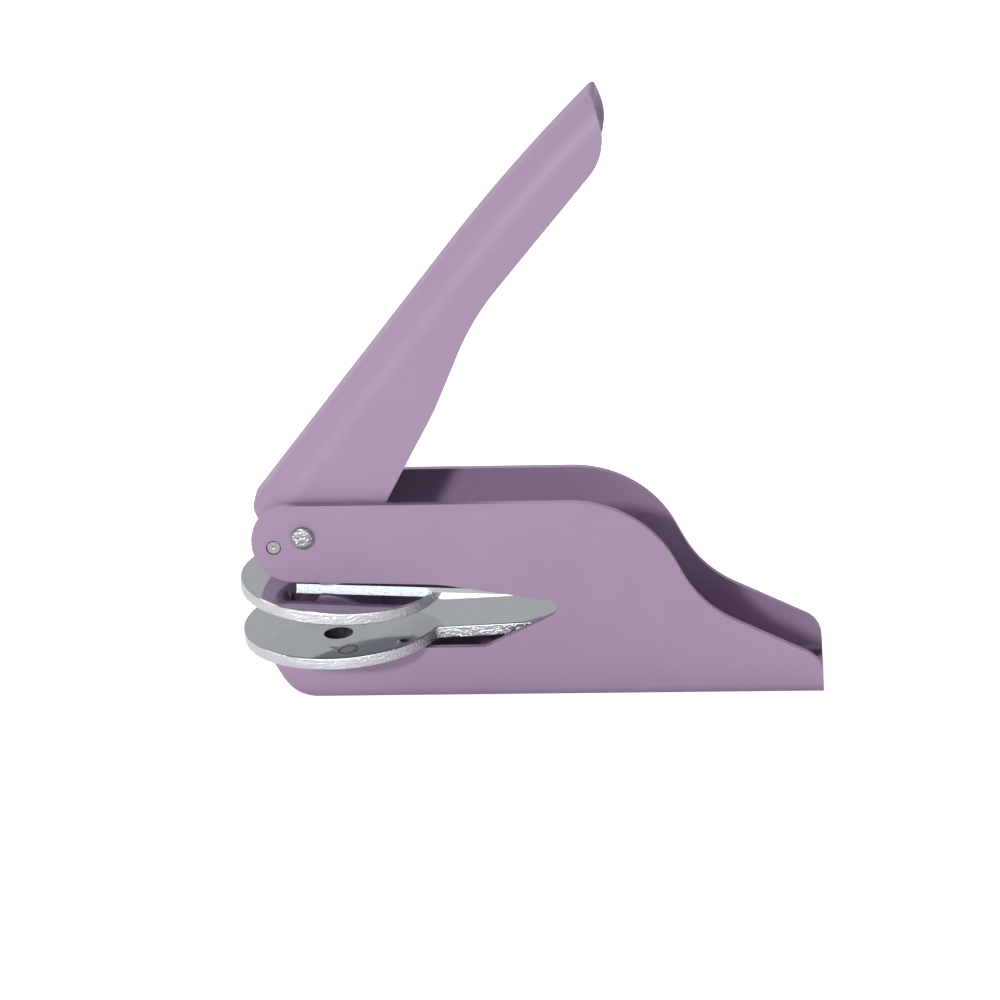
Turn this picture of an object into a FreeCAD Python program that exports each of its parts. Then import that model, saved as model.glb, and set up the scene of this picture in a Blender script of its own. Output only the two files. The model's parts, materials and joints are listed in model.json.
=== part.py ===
# Seal embosser: a bent sheet frame, a pressed channel lever, and a pair of chromed jaws held apart by a leaf.
# Millimetres. The origin is the centre of the base's flat underside, +X points to the rear, +Z up.
# The lever's own outline is drawn about its pivot, with its first axis along the lever.
import FreeCAD, Part
import math
import os
import Sketcher

Vector = FreeCAD.Vector
Rotation = FreeCAD.Rotation
Placement = FreeCAD.Placement
ACROSS = Vector(0, 1, 0)
UP = Vector(0, 0, 1)
# Two points nearer than this are one point
SAME_POINT = 1e-6
# Shares of a head's height or a seam's length that its rounding takes
DOME_SHARE = 0.9
EDGE_SHARE = 0.5
FIT_SHARE = 0.98
# Points measured on each arc of the spring's wire
SPRING_STEPS = 12

# Driving dimensions, in millimetres and degrees
SIZES = {
    # Frame channel: one sheet bent into a base and two side walls
    "frame_length": 110.2,
    "frame_width": 22.0,
    "sheet": 1.5,
    "bend_radius": 3.0,
    "wall_top": 44.55,
    "toe_overhang": 1.3,
    "toe_angle": 61.0,
    "toe_radius": 11.0,
    "lobe_front": 64.8,
    "lobe_top_radius": 8.0,
    "lobe_low_radius": 9.0,
    "lobe_low": 27.6,
    "brow_back": 25.4,
    "brow_low": 26.4,
    "brow_radius": 30.0,
    "throat_end": 3.0,
    "throat_end_height": 21.5,
    "throat_tip_radius": 1.8,
    "sill_back": 16.25,
    "sill_height": 11.95,
    "sill_radius": 1.5,
    "shoulder_back": 17.2,
    "shoulder_radius": 24.5,
    "hip_back": 29.35,
    "hip_height": 20.8,
    "hip_radius": 24.3,
    "tail_height": 8.3,
    "tail_radius": 5.95,
    "tail_lean": 0.33,
    "heel_radius": 0.8,
    # Pivot rivet and its bush
    "pivot_ahead": 53.93,
    "pivot_height": 37.44,
    "rivet_radius": 1.9,
    "rivet_head_radius": 2.5,
    "rivet_head_height": 1.4,
    "bush_radius": 2.8,
    "running_clearance": 0.05,
    # Stop pin that the open lever rests against
    "stop_ahead": 60.14,
    "stop_height": 35.2,
    "stop_pin_radius": 1.35,
    "stop_hole_radius": 1.6,
    "stop_shoulder_radius": 1.7,
    "stop_clearance": 0.03,
    "stop_recess": 0.22,
    "centre_mark_radius": 0.4,
    "centre_mark_depth": 0.3,
    # Lever: a pressed channel, open below and at its far end
    "lever_angle": 50.7,
    "lever_gap": 0.4,
    "lever_sheet": 1.5,
    "spine_radius": 7.0,
    "spine_front": 11.85,
    "spine_knee": 66.0,
    "spine_knee_height": 13.33,
    "spine_bow_radius": 380.0,
    "lever_reach": 112.95,
    "lever_brow_back": 0.7,
    "lever_brow_low": 8.2,
    "lever_brow_radius": 1.8,
    "lever_chin_radius": 5.0,
    "lever_tip_radius": 1.0,
    "mouth_low": 106.1,
    "mouth_radius": 12.0,
    "grip_low": 1.2,
    "grip_start": 60.2,
    "grip_radius": 57.0,
    "belly": 39.2,
    "belly_low": 4.9,
    "belly_radius": 60.0,
    "root": 16.8,
    "root_low": 9.25,
    "root_radius": 12.0,
    "lever_front_low": 2.65,
    "lever_front_radius": 2.5,
    # Cam: the round lower edge of the lever's side walls, which presses the leaf down
    "cam_offset": 4.6,
    "cam_angle": 18.0,
    "cam_clearance": 0.05,
    "cam_first": 214.0,
    "cam_last": 267.0,
    # Jaws: a round plate above and a round plate with a tongue below, tilted apart like tongs
    "disc_ahead": 47.0,
    "disc_radius": 21.6,
    "disc_thickness": 2.7,
    "jaw_tilt": 2.5,
    "upper_top": 24.5,
    "lower_top": 14.35,
    "rim_round": 0.35,
    "strip_gap": 1.9,
    "leaf_gap": 1.0,
    "neck_radius": 1.6,
    "leaf_thickness": 1.05,
    "leaf_ahead": 9.1,
    "jaw_rest_gap": 0.02,
    "index_hole_radius": 3.15,
    "index_hole_side": 8.1,
    "index_hole_ahead": 0.6,
    # Rivets that hold the upper plate to the leaf
    "disc_rivet_radius": 1.5,
    "disc_rivet_head_radius": 3.0,
    "disc_rivet_head_height": 1.1,
    "disc_rivet_foot_radius": 3.05,
    "disc_rivet_foot_depth": 1.0,
    "disc_rivet_groove": 0.4,
    "locating_back": 12.0,
    "locating_radius": 1.0,
    "locating_head_radius": 2.0,
    "locating_head_height": 0.8,
    # Rear stack: heel block, tongue, spacer, leaf and clamp plate
    "stack_ahead": 0.3,
    "stack_length": 13.0,
    "heel_ahead": 3.0,
    "head_relief": 0.3,
    "plate_thickness": 2.0,
    "jaw_rivet_side_share": 0.5132,
    "jaw_rivet_head_gap": 1.2,
    "jaw_rivet_shank_share": 0.5556,
    "jaw_rivet_head_height": 1.1,
    "jaw_rivet_in": 3.6,
    "jaw_screw_radius": 1.5,
    "jaw_screw_head_radius": 2.8,
    "jaw_screw_head_height": 1.7,
    "jaw_screw_slot": 0.7,
    "jaw_screw_in": 9.6,
    "jaw_screw_bite": 5.4,
    "lock_washer_radius": 2.9,
    "lock_washer_thickness": 0.7,
    "lock_washer_split": 0.5,
    "heel_screw_radius": 1.5,
    "heel_screw_head_radius": 2.8,
    "heel_screw_spread": 8.0,
    "heel_screw_length": 6.6,
    "heel_screw_recess": 0.2,
    "thread_clearance": 0.02,
    # Torsion spring round the bush
    "spring_wire": 1.1,
    "spring_radius": 3.7,
    "spring_side_gap": 0.65,
    "spring_turns": 7.0,
    "spring_gap": 0.06,
    "spring_leg": 25.0,
    "spring_tail": 5.5,
    # One overrun for every cut
    "overrun": 2.0,
}

doc = FreeCAD.newDocument("seal_embosser")
sheet = doc.addObject("Spreadsheet::Sheet", "Sizes")
for row, (alias, number) in enumerate(SIZES.items(), start=1):
    sheet.set("A%d" % row, alias)
    sheet.set("B%d" % row, str(number))
    sheet.setAlias("B%d" % row, alias)
doc.recompute()


def size(alias):
    """A named size, read back from the sheet."""
    return float(sheet.get(alias))


def bind(obj, **expressions):
    """Bind properties of an object to the sheet. Each value is an expression of aliases."""
    for prop, expression in expressions.items():
        obj.setExpression(prop, expression)
    return obj


# Outlines: corner points with a radius each, turned into lines and tangent arcs
def rounded(corners):
    """Lines and arcs round a closed outline of (x, y, radius) corners."""
    count = len(corners)
    points = [Vector(x, y, 0) for x, y, _ in corners]
    backs = [(points[index - 1] - points[index]).normalize() for index in range(count)]
    ons = [(points[(index + 1) % count] - points[index]).normalize() for index in range(count)]
    halves = [backs[index].getAngle(ons[index]) / 2 for index in range(count)]
    reaches = [corner[2] / math.tan(half) for corner, half in zip(corners, halves)]
    # Two roundings that share a side stay within it
    for index in range(count):
        follow = (index + 1) % count
        side = (points[follow] - points[index]).Length
        both = reaches[index] + reaches[follow]
        if both > side * FIT_SHARE:
            reaches[index] *= side * FIT_SHARE / both
            reaches[follow] *= side * FIT_SHARE / both
    pieces = []
    for index in range(count):
        here, reach, half = points[index], reaches[index], halves[index]
        first, last = here + backs[index] * reach, here + ons[index] * reach
        if reach:
            radius = reach * math.tan(half)
            bisector = (backs[index] + ons[index]).normalize()
            middle = here + bisector * (radius / math.sin(half) - radius)
            pieces.append(Part.Arc(first, middle, last))
        follow = (index + 1) % count
        start = points[follow] + backs[follow] * reaches[follow]
        if (start - last).Length > SAME_POINT:
            pieces.append(Part.LineSegment(last, start))
    return pieces


def add_outline(body, name, plane, pieces):
    """A sketch of the given lines and arcs on one of a body's origin planes."""
    sketch = body.newObject("Sketcher::SketchObject", name)
    support = [feature for feature in body.Origin.OriginFeatures if feature.Role == plane][0]
    sketch.AttachmentSupport = [(support, "")]
    sketch.MapMode = "FlatFace"
    sketch.addGeometry(pieces, False)
    count = len(pieces)
    if count > 1:
        joints = []
        for index in range(count):
            follow = (index + 1) % count
            # An arc may be stored the other way round, so the ends that meet are looked up
            ends = [(here, there) for here in (1, 2) for there in (1, 2)]
            gaps = [sketch.getPoint(index, here) - sketch.getPoint(follow, there) for here, there in ends]
            lengths = [gap.Length for gap in gaps]
            here, there = ends[lengths.index(min(lengths))]
            joints.append(Sketcher.Constraint("Coincident", index, here, follow, there))
        sketch.addConstraint(joints)
    sketch.addConstraint([Sketcher.Constraint("Block", index) for index in range(count)])
    return sketch


def add_body(label):
    """An empty body with its own label."""
    body = doc.addObject("PartDesign::Body", label)
    body.Label = label
    return body


def pad(body, sketch, length, both_ways=False, reverse=False):
    """A pad of a sketch, its length an expression of the sheet."""
    feature = body.newObject("PartDesign::Pad", sketch.Name + "_pad")
    feature.Profile = sketch
    feature.Midplane = both_ways
    feature.Reversed = reverse
    bind(feature, Length=length)
    doc.recompute()
    return feature


def turned(label, corners, place):
    """A body turned about its own upright axis from a closed half outline of (radius, height) corners."""
    body = add_body(label)
    sketch = add_outline(body, label + "_half", "XZ_Plane", rounded(corners))
    feature = body.newObject("PartDesign::Revolution", label + "_turned")
    feature.Profile = sketch
    feature.ReferenceAxis = (sketch, ["V_Axis"])
    feature.Angle = 360.0
    doc.recompute()
    body.Placement = place
    return body


def rod(name, radius, length, place):
    """A plain cylinder with its radius and length bound to the sheet."""
    cylinder = doc.addObject("Part::Cylinder", name)
    bind(cylinder, Radius=radius, Height=length)
    cylinder.Placement = place
    return cylinder


def cut(label, base, tools):
    """One base with a list of tools cut from it, one after another."""
    result = base
    for index, tool in enumerate(tools):
        step = doc.addObject("Part::Cut", "%s_cut_%d" % (label, index))
        step.Base = result
        step.Tool = tool
        result = step
    result.Label = label
    doc.recompute()
    return result


def common(name, first, second):
    """What two solids have in common."""
    both = doc.addObject("Part::Common", name)
    both.Base = first
    both.Tool = second
    doc.recompute()
    return both


def along_y(x, y, z):
    """A place whose upright axis lies along +Y."""
    return Placement(Vector(x, y, z), Rotation(Vector(1, 0, 0), -90))


def at(x, y, z):
    """A place without a turn."""
    return Placement(Vector(x, y, z), Rotation())


# Derived places that several pieces share
OVERRUN = size("overrun")
HALF_LENGTH = size("frame_length") / 2
HALF_WIDTH = size("frame_width") / 2
INNER_HALF = HALF_WIDTH - size("sheet")
PIVOT = Vector(-size("pivot_ahead"), 0, size("pivot_height"))
STOP = Vector(-size("stop_ahead"), 0, size("stop_height"))
LEVER_TURN = math.radians(size("lever_angle"))
LEVER_ALONG = Vector(math.cos(LEVER_TURN), 0, math.sin(LEVER_TURN))
LEVER_OUT = Vector(-math.sin(LEVER_TURN), 0, math.cos(LEVER_TURN))
LEVER_PLACE = Placement(PIVOT, Rotation(ACROSS, -size("lever_angle")))
STRIP_HALF = INNER_HALF - size("strip_gap")
STRIP_WIDTH = "Sizes.frame_width - 2 * Sizes.sheet - 2 * Sizes.strip_gap"
RIVET_SIDE = STRIP_HALF * size("jaw_rivet_side_share")
RIVET_HEAD = RIVET_SIDE - size("jaw_rivet_head_gap")
RIVET_SHANK = RIVET_HEAD * size("jaw_rivet_shank_share")
RIVET_HEAD_SUM = "%s / 2 * Sizes.jaw_rivet_side_share - Sizes.jaw_rivet_head_gap" % (
    "(%s)" % STRIP_WIDTH
)
RIVET_HOLE_SUM = "(%s) * Sizes.jaw_rivet_shank_share + Sizes.thread_clearance" % RIVET_HEAD_SUM
LEVER_WIDTH = "Sizes.frame_width - 2 * Sizes.sheet - 2 * Sizes.lever_gap"
LEVER_HALF = INNER_HALF - size("lever_gap")
LEVER_INNER = LEVER_HALF - size("lever_sheet")
TILT = math.radians(size("jaw_tilt"))
DISC_X = -size("disc_ahead")
UPPER_PLACE = Placement(Vector(DISC_X, 0, size("upper_top")), Rotation(ACROSS, size("jaw_tilt")))
LOWER_PLACE = Placement(Vector(DISC_X, 0, size("lower_top")), Rotation(ACROSS, -size("jaw_tilt")))
STACK_FRONT = -size("stack_ahead")
STACK_REAR = STACK_FRONT + size("stack_length")


def upper_plane(x, above=0):
    """Height of the leaf's underside, or of a plane that much above it, at x."""
    return size("upper_top") + above / math.cos(TILT) - (x - DISC_X) * math.tan(TILT)


def lower_plane(x, below=0):
    """Height of the lower jaw's top, or of a plane that much below it, at x."""
    return size("lower_top") - below / math.cos(TILT) + (x - DISC_X) * math.tan(TILT)


# Frame channel: the bent section along X, kept inside the side outline
def frame_outline():
    """Corners of the side walls with the paper throat cut in from the front."""
    toe = -(HALF_LENGTH + size("toe_overhang"))
    below = size("disc_thickness") + size("jaw_rest_gap")
    slope = math.tan(math.radians(size("toe_angle")))
    rise = math.tan(TILT)
    # The toe's slanted line meets the plane on which the lower jaw rests
    toe_top = (slope * toe - (lower_plane(DISC_X, below) - DISC_X * rise)) / (slope + rise)
    rest_back = DISC_X + (size("sill_height") - lower_plane(DISC_X, below)) / rise
    return [
        (toe, 0, size("toe_radius")),
        (HALF_LENGTH, 0, size("heel_radius")),
        (HALF_LENGTH - size("tail_lean"), size("tail_height"), size("tail_radius")),
        (size("hip_back"), size("hip_height"), size("hip_radius")),
        (size("shoulder_back"), size("wall_top"), size("shoulder_radius")),
        (-size("lobe_front"), size("wall_top"), size("lobe_top_radius")),
        (-size("lobe_front"), size("lobe_low"), size("lobe_low_radius")),
        (-size("brow_back"), size("brow_low"), size("brow_radius")),
        (size("throat_end"), size("throat_end_height"), size("throat_tip_radius")),
        (-size("sill_back"), size("sill_height"), size("sill_radius")),
        (rest_back, size("sill_height"), 0),
        (toe_top, lower_plane(toe_top, below), 0),
    ]


def frame_section():
    """Corners of the channel's section, across and up."""
    inner_bend = size("bend_radius") - size("sheet")
    top = size("wall_top") + OVERRUN
    return [
        (-HALF_WIDTH, 0, size("bend_radius")),
        (HALF_WIDTH, 0, size("bend_radius")),
        (HALF_WIDTH, top, 0),
        (INNER_HALF, top, 0),
        (INNER_HALF, size("sheet"), inner_bend),
        (-INNER_HALF, size("sheet"), inner_bend),
        (-INNER_HALF, top, 0),
        (-HALF_WIDTH, top, 0),
    ]


def make_frame_channel():
    """The frame, with holes for the pivot rivet, the stop pin and the heel screws."""
    side = add_body("frame_side")
    outline = add_outline(side, "frame_side_outline", "XZ_Plane", rounded(frame_outline()))
    pad(side, outline, "Sizes.frame_width + 2 * Sizes.overrun", both_ways=True)
    channel = add_body("frame_bend")
    section = add_outline(channel, "frame_bend_section", "YZ_Plane", rounded(frame_section()))
    pad(channel, section, "Sizes.frame_length + 2 * Sizes.lobe_front", both_ways=True)
    blank = common("frame_blank", channel, side)
    across = "Sizes.frame_width + 2 * Sizes.overrun"
    near = -HALF_WIDTH - OVERRUN
    tools = [
        rod("pivot_holes", "Sizes.rivet_radius + Sizes.running_clearance", across,
            along_y(PIVOT.x, near, PIVOT.z)),
        rod("stop_holes", "Sizes.stop_hole_radius", across, along_y(STOP.x, near, STOP.z)),
    ]
    return cut("frame_channel", blank, tools + heel_screw_seats())


def heel_screw_places():
    """Where the two heel screws stand, from the front to the rear."""
    middle = (STACK_FRONT - size("heel_ahead") + STACK_REAR) / 2
    return [middle - size("heel_screw_spread") / 2, middle + size("heel_screw_spread") / 2]


def heel_screw_seats():
    """Countersunk holes in the base, one for each heel screw."""
    seats = []
    for index, x in enumerate(heel_screw_places()):
        cone = doc.addObject("Part::Cone", "heel_sink_%d" % index)
        bind(
            cone,
            Radius1="Sizes.heel_screw_head_radius + Sizes.heel_screw_recess",
            Radius2="Sizes.heel_screw_radius + Sizes.thread_clearance",
            Height="Sizes.sheet",
        )
        cone.Placement = at(x, 0, 0)
        seats.append(cone)
    return seats


# Pivot: the rivet, and the bush between the lever's walls
def make_pivot():
    """The pivot rivet with a domed head on each side, and its bush."""
    shank = size("rivet_radius")
    head = size("rivet_head_radius")
    dome = size("rivet_head_height")
    side = HALF_WIDTH
    turned(
        "pivot_rivet",
        [
            (0, -side - dome, 0),
            (head, -side - dome, dome * DOME_SHARE),
            (head, -side, 0),
            (shank, -side, 0),
            (shank, side, 0),
            (head, side, 0),
            (head, side + dome, dome * DOME_SHARE),
            (0, side + dome, 0),
        ],
        along_y(PIVOT.x, 0, PIVOT.z),
    )
    hole = shank + size("running_clearance")
    end = LEVER_INNER - size("running_clearance")
    turned(
        "pivot_bush",
        [(hole, -end, 0), (size("bush_radius"), -end, 0), (size("bush_radius"), end, 0), (hole, end, 0)],
        along_y(PIVOT.x, 0, PIVOT.z),
    )


def make_stop_pin():
    """The shouldered stop pin: thin ends in the walls, centre marks in its flat ends."""
    end = HALF_WIDTH - size("stop_recess")
    shoulder = INNER_HALF - size("running_clearance")
    mark = size("centre_mark_radius")
    depth = size("centre_mark_depth")
    thin = size("stop_pin_radius")
    thick = size("stop_shoulder_radius")
    turned(
        "stop_pin",
        [
            (0, -end + depth, 0),
            (mark, -end, 0),
            (thin, -end, 0),
            (thin, -shoulder, 0),
            (thick, -shoulder, 0),
            (thick, shoulder, 0),
            (thin, shoulder, 0),
            (thin, end, 0),
            (mark, end, 0),
            (0, end - depth, 0),
        ],
        along_y(STOP.x, 0, STOP.z),
    )


# Lever: outlines are in its own frame, with the pivot at the origin
def lever_local(point):
    """A point of the part in the lever's own frame, along and out."""
    offset = point - PIVOT
    return offset.dot(LEVER_ALONG), offset.dot(LEVER_OUT)


def spine_pieces(inset, back):
    """The spine as a line and a bowed arc, moved in by the inset, closed well below the lever."""
    run = size("spine_knee")
    rise = math.atan2(size("spine_knee_height") - size("spine_front"), run)
    normal = Vector(-math.sin(rise), math.cos(rise), 0)
    along = Vector(math.cos(rise), math.sin(rise), 0)
    knee = Vector(run, size("spine_knee_height"), 0) - normal * inset
    start = knee - along * (run + back)
    radius = size("spine_bow_radius") - inset
    centre = knee - normal * radius
    bow = (size("lever_reach") - run + back) / radius

    def on_bow(turn):
        return centre + normal * (radius * math.cos(turn)) + along * (radius * math.sin(turn))

    end = on_bow(bow)
    floor = -(size("cam_offset") + size("pivot_height"))
    low_end = Vector(end.x, floor, 0)
    low_start = Vector(start.x, floor, 0)
    return [
        Part.LineSegment(start, knee),
        Part.Arc(knee, on_bow(bow / 2), end),
        Part.LineSegment(end, low_end),
        Part.LineSegment(low_end, low_start),
        Part.LineSegment(low_start, start),
    ]


def lever_blank(name, inset, back, width, round_size):
    """A long solid with the spine's rounded shoulders, before its side outline is cut."""
    body = add_body(name)
    sketch = add_outline(body, name + "_outline", "XZ_Plane", spine_pieces(inset, back))
    padded = pad(body, sketch, width, both_ways=True)
    edges = []
    top = size("spine_front") / 2
    for index, edge in enumerate(padded.Shape.Edges, start=1):
        ends = [vertex.Point for vertex in edge.Vertexes]
        side = abs(ends[0].y - ends[1].y) < SAME_POINT
        if side and min(ends[0].z, ends[1].z) > top:
            edges.append("Edge%d" % index)
    fillet = body.newObject("PartDesign::Fillet", name + "_shoulders")
    fillet.Base = (padded, edges)
    bind(fillet, Radius=round_size)
    doc.recompute()
    return body


def cam_centre():
    """The cam's centre in the lever's own frame, at rest."""
    turn = math.radians(size("cam_angle") - size("lever_angle"))
    return Vector(math.cos(turn), math.sin(turn), 0) * size("cam_offset")


def cam_radius():
    """From the cam's centre down to the leaf's top face, less the clearance."""
    centre = cam_centre()
    world = PIVOT + LEVER_ALONG * centre.x + LEVER_OUT * centre.y
    leaf_top = upper_plane(world.x, size("leaf_thickness"))
    return (world.z - leaf_top) * math.cos(TILT) - size("cam_clearance")


def lever_side_pieces():
    """The lever's side outline: spine side left long, mouth, grip, belly, root, cam and front."""
    front = lever_local(STOP)[0] + size("stop_shoulder_radius") + size("stop_clearance")
    centre = cam_centre()
    radius = cam_radius()

    def on_cam(degrees):
        turn = math.radians(degrees)
        return centre + Vector(math.cos(turn), math.sin(turn), 0) * radius

    first, last = on_cam(size("cam_first")), on_cam(size("cam_last"))
    middle = on_cam((size("cam_first") + size("cam_last")) / 2)
    bow = size("lever_reach") - size("spine_knee")
    slope = (size("spine_knee_height") - size("spine_front")) / size("spine_knee")
    brow = front + size("lever_brow_back")
    spine = size("spine_front") + slope * brow
    tip = size("spine_knee_height") + bow * slope - bow * bow / (2 * size("spine_bow_radius"))
    high = size("spine_knee_height") + size("overrun")
    # The corners from the cam's rear end round to its front end, open at the cam
    corners = [
        (last.x, last.y, 0),
        (size("root"), -size("root_low"), size("root_radius")),
        (size("belly"), -size("belly_low"), size("belly_radius")),
        (size("grip_start"), size("grip_low"), size("grip_radius")),
        (size("mouth_low"), size("grip_low"), size("mouth_radius")),
        (size("lever_reach"), tip, size("lever_tip_radius")),
        (size("spine_knee"), high, 0),
        (brow, spine, size("lever_brow_radius")),
        (front, size("lever_brow_low"), size("lever_chin_radius")),
        (front, -size("lever_front_low"), size("lever_front_radius")),
        (first.x, first.y, 0),
    ]
    pieces = rounded(corners)
    # The closing line from the last corner to the first is the cam's chord: the arc takes its place
    return pieces[:-1] + [Part.Arc(first, middle, last)]


def make_lever():
    """The lever: rounded channel cut to its side outline, with the pivot hole."""
    reach = size("lever_reach")
    outer = lever_blank("lever_outer", 0, reach / 4, LEVER_WIDTH, "Sizes.spine_radius")
    inner = lever_blank(
        "lever_inner",
        size("lever_sheet"),
        reach / 3,
        LEVER_WIDTH + " - 2 * Sizes.lever_sheet",
        "Sizes.spine_radius - Sizes.lever_sheet",
    )
    shell = cut("lever_shell", outer, [inner])
    side = add_body("lever_side")
    outline = add_outline(side, "lever_side_outline", "XZ_Plane", lever_side_pieces())
    pad(side, outline, "Sizes.frame_width + 2 * Sizes.overrun", both_ways=True)
    blank = common("lever_blank", shell, side)
    hole = rod(
        "lever_pivot_hole",
        "Sizes.rivet_radius + Sizes.running_clearance",
        "Sizes.frame_width + 2 * Sizes.overrun",
        along_y(0, -HALF_WIDTH - OVERRUN, 0),
    )
    lever = cut("handle_lever", blank, [hole])
    lever.Placement = LEVER_PLACE
    doc.recompute()


# Jaws
def round_rims(body, padded):
    """Round the two long rims of a padded plate by the small rim radius."""
    edges = []
    for index, edge in enumerate(padded.Shape.Edges, start=1):
        if abs(edge.Vertexes[0].Z - edge.Vertexes[-1].Z) < SAME_POINT:
            edges.append("Edge%d" % index)
    fillet = body.newObject("PartDesign::Fillet", body.Name + "_rims")
    fillet.Base = (padded, edges)
    bind(fillet, Radius="Sizes.rim_round")
    doc.recompute()


def make_upper_disc():
    """The upper round plate, with holes for its two rivets."""
    body = add_body("upper_plate")
    circle = Part.Circle(Vector(0, 0, 0), UP, size("disc_radius"))
    sketch = add_outline(body, "upper_plate_outline", "XY_Plane", [circle])
    padded = pad(body, sketch, "Sizes.disc_thickness", reverse=True)
    round_rims(body, padded)
    depth = "Sizes.disc_thickness + 2 * Sizes.overrun"
    low = -size("disc_thickness") - OVERRUN
    foot = rod(
        "disc_rivet_sink",
        "Sizes.disc_rivet_foot_radius",
        "Sizes.disc_rivet_foot_depth + Sizes.overrun",
        at(0, 0, low),
    )
    holes = [
        foot,
        rod("disc_rivet_hole", "Sizes.disc_rivet_radius", depth, at(0, 0, low)),
        rod("locating_hole", "Sizes.locating_radius", depth, at(size("locating_back"), 0, low)),
        rod("locating_sink", "Sizes.locating_head_radius", "Sizes.locating_head_height + Sizes.overrun",
            at(size("locating_back"), 0, low)),
    ]
    disc = cut("upper_disc", body, holes)
    disc.Placement = UPPER_PLACE


def make_leaf():
    """The long leaf strip on top of the upper plate, back to the clamp."""
    body = add_body("leaf_strip")
    back = (STACK_REAR - DISC_X) / math.cos(TILT)
    half = INNER_HALF - size("leaf_gap")
    corners = [
        (-size("leaf_ahead"), -half, size("rim_round")),
        (back, -half, size("rim_round")),
        (back, half, size("rim_round")),
        (-size("leaf_ahead"), half, size("rim_round")),
    ]
    sketch = add_outline(body, "leaf_outline", "XY_Plane", rounded(corners))
    pad(body, sketch, "Sizes.leaf_thickness")
    depth = "Sizes.leaf_thickness + 2 * Sizes.overrun"
    holes = [
        rod("leaf_rivet_hole", "Sizes.disc_rivet_radius", depth, at(0, 0, -OVERRUN)),
        rod("leaf_locating_hole", "Sizes.locating_radius", depth, at(size("locating_back"), 0, -OVERRUN)),
    ]
    # The clamp's holes stand upright in the part, so they lean in the leaf's own frame
    for index, (x, y, radius) in enumerate(stack_holes()):
        holes.append(leaning_hole("leaf_clamp_hole_%d" % index, x, y, radius, UPPER_PLACE))
    leaf = cut("leaf_spring", body, holes)
    leaf.Placement = UPPER_PLACE


def stack_holes():
    """Upright holes through the rear stack: x, y and an expression for the radius."""
    x = STACK_FRONT + size("jaw_rivet_in")
    return [
        (x, -RIVET_SIDE, RIVET_HOLE_SUM),
        (x, RIVET_SIDE, RIVET_HOLE_SUM),
        (STACK_FRONT + size("jaw_screw_in"), 0, "Sizes.jaw_screw_radius + Sizes.thread_clearance"),
    ]


def leaning_hole(name, x, y, radius, place):
    """A hole tool that is upright in the part, given in the frame of a tilted piece."""
    tool = rod(name, radius, "Sizes.wall_top", at(0, 0, 0))
    tool.Placement = place.inverse().multiply(at(x, y, 0))
    return tool


def make_lower_jaw():
    """The lower jaw: a round plate and its tongue in one stamping, with an index hole."""
    body = add_body("lower_plate")
    half = STRIP_HALF
    radius = size("disc_radius")
    neck = size("neck_radius")
    # The neck's hollow corner touches the disc's round edge and the tongue's side
    across = half + neck
    ahead = math.sqrt((radius + neck) ** 2 - across ** 2)
    touch = Vector(ahead, across, 0) * (radius / (radius + neck))
    back = (STACK_REAR - DISC_X) / math.cos(TILT)
    low_touch = Vector(touch.x, -touch.y, 0)
    corners = [
        Vector(ahead, half, 0),
        Vector(back, half, 0),
        Vector(back, -half, 0),
        Vector(ahead, -half, 0),
    ]
    centre = Vector(ahead, across, 0)
    inward = (touch - centre).normalize() + (corners[0] - centre).normalize()
    middle = centre + inward.normalize() * neck
    low_middle = Vector(middle.x, -middle.y, 0)
    pieces = [
        Part.Arc(touch, Vector(-radius, 0, 0), low_touch),
        Part.Arc(low_touch, low_middle, corners[3]),
        Part.LineSegment(corners[3], corners[2]),
        Part.LineSegment(corners[2], corners[1]),
        Part.LineSegment(corners[1], corners[0]),
        Part.Arc(corners[0], middle, touch),
    ]
    sketch = add_outline(body, "lower_plate_outline", "XY_Plane", pieces)
    padded = pad(body, sketch, "Sizes.disc_thickness", reverse=True)
    round_rims(body, padded)
    low = -size("disc_thickness") - OVERRUN
    holes = [
        rod(
            "index_hole",
            "Sizes.index_hole_radius",
            "Sizes.disc_thickness + 2 * Sizes.overrun",
            at(-size("index_hole_ahead"), -size("index_hole_side"), low),
        )
    ]
    for index, (x, y, hole) in enumerate(stack_holes()):
        holes.append(leaning_hole("tongue_hole_%d" % index, x, y, hole, LOWER_PLACE))
    jaw = cut("lower_jaw", body, holes)
    jaw.Placement = LOWER_PLACE


def make_disc_rivets():
    """The centre rivet and the small locating rivet, in the upper plate's own frame."""
    top = size("leaf_thickness")
    bottom = -size("disc_thickness")
    shank = size("disc_rivet_radius")
    head = size("disc_rivet_head_radius")
    foot = size("disc_rivet_foot_radius")
    sink = bottom + size("disc_rivet_foot_depth")
    groove = size("disc_rivet_groove")
    rise = size("disc_rivet_head_height")
    turned(
        "disc_rivet",
        [
            (0, bottom, 0),
            (foot - 3 * groove, bottom, 0),
            (foot - 3 * groove, bottom + groove, 0),
            (foot - 2 * groove, bottom + groove, 0),
            (foot - 2 * groove, bottom, 0),
            (foot, bottom, 0),
            (foot, sink, 0),
            (shank, sink, 0),
            (shank, top, 0),
            (head, top, 0),
            (head, top + rise, rise * DOME_SHARE),
            (0, top + rise, 0),
        ],
        UPPER_PLACE,
    )
    thin = size("locating_radius")
    cap = size("locating_head_radius")
    height = size("locating_head_height")
    turned(
        "locating_rivet",
        [
            (0, bottom + height / 2, 0),
            (thin, bottom + height / 2, 0),
            (cap, bottom, 0),
            (cap, bottom + height, 0),
            (thin, bottom + height, 0),
            (thin, top, 0),
            (cap, top, 0),
            (cap, top + height, height * EDGE_SHARE),
            (0, top + height, 0),
        ],
        UPPER_PLACE.multiply(at(size("locating_back"), 0, 0)),
    )


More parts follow.
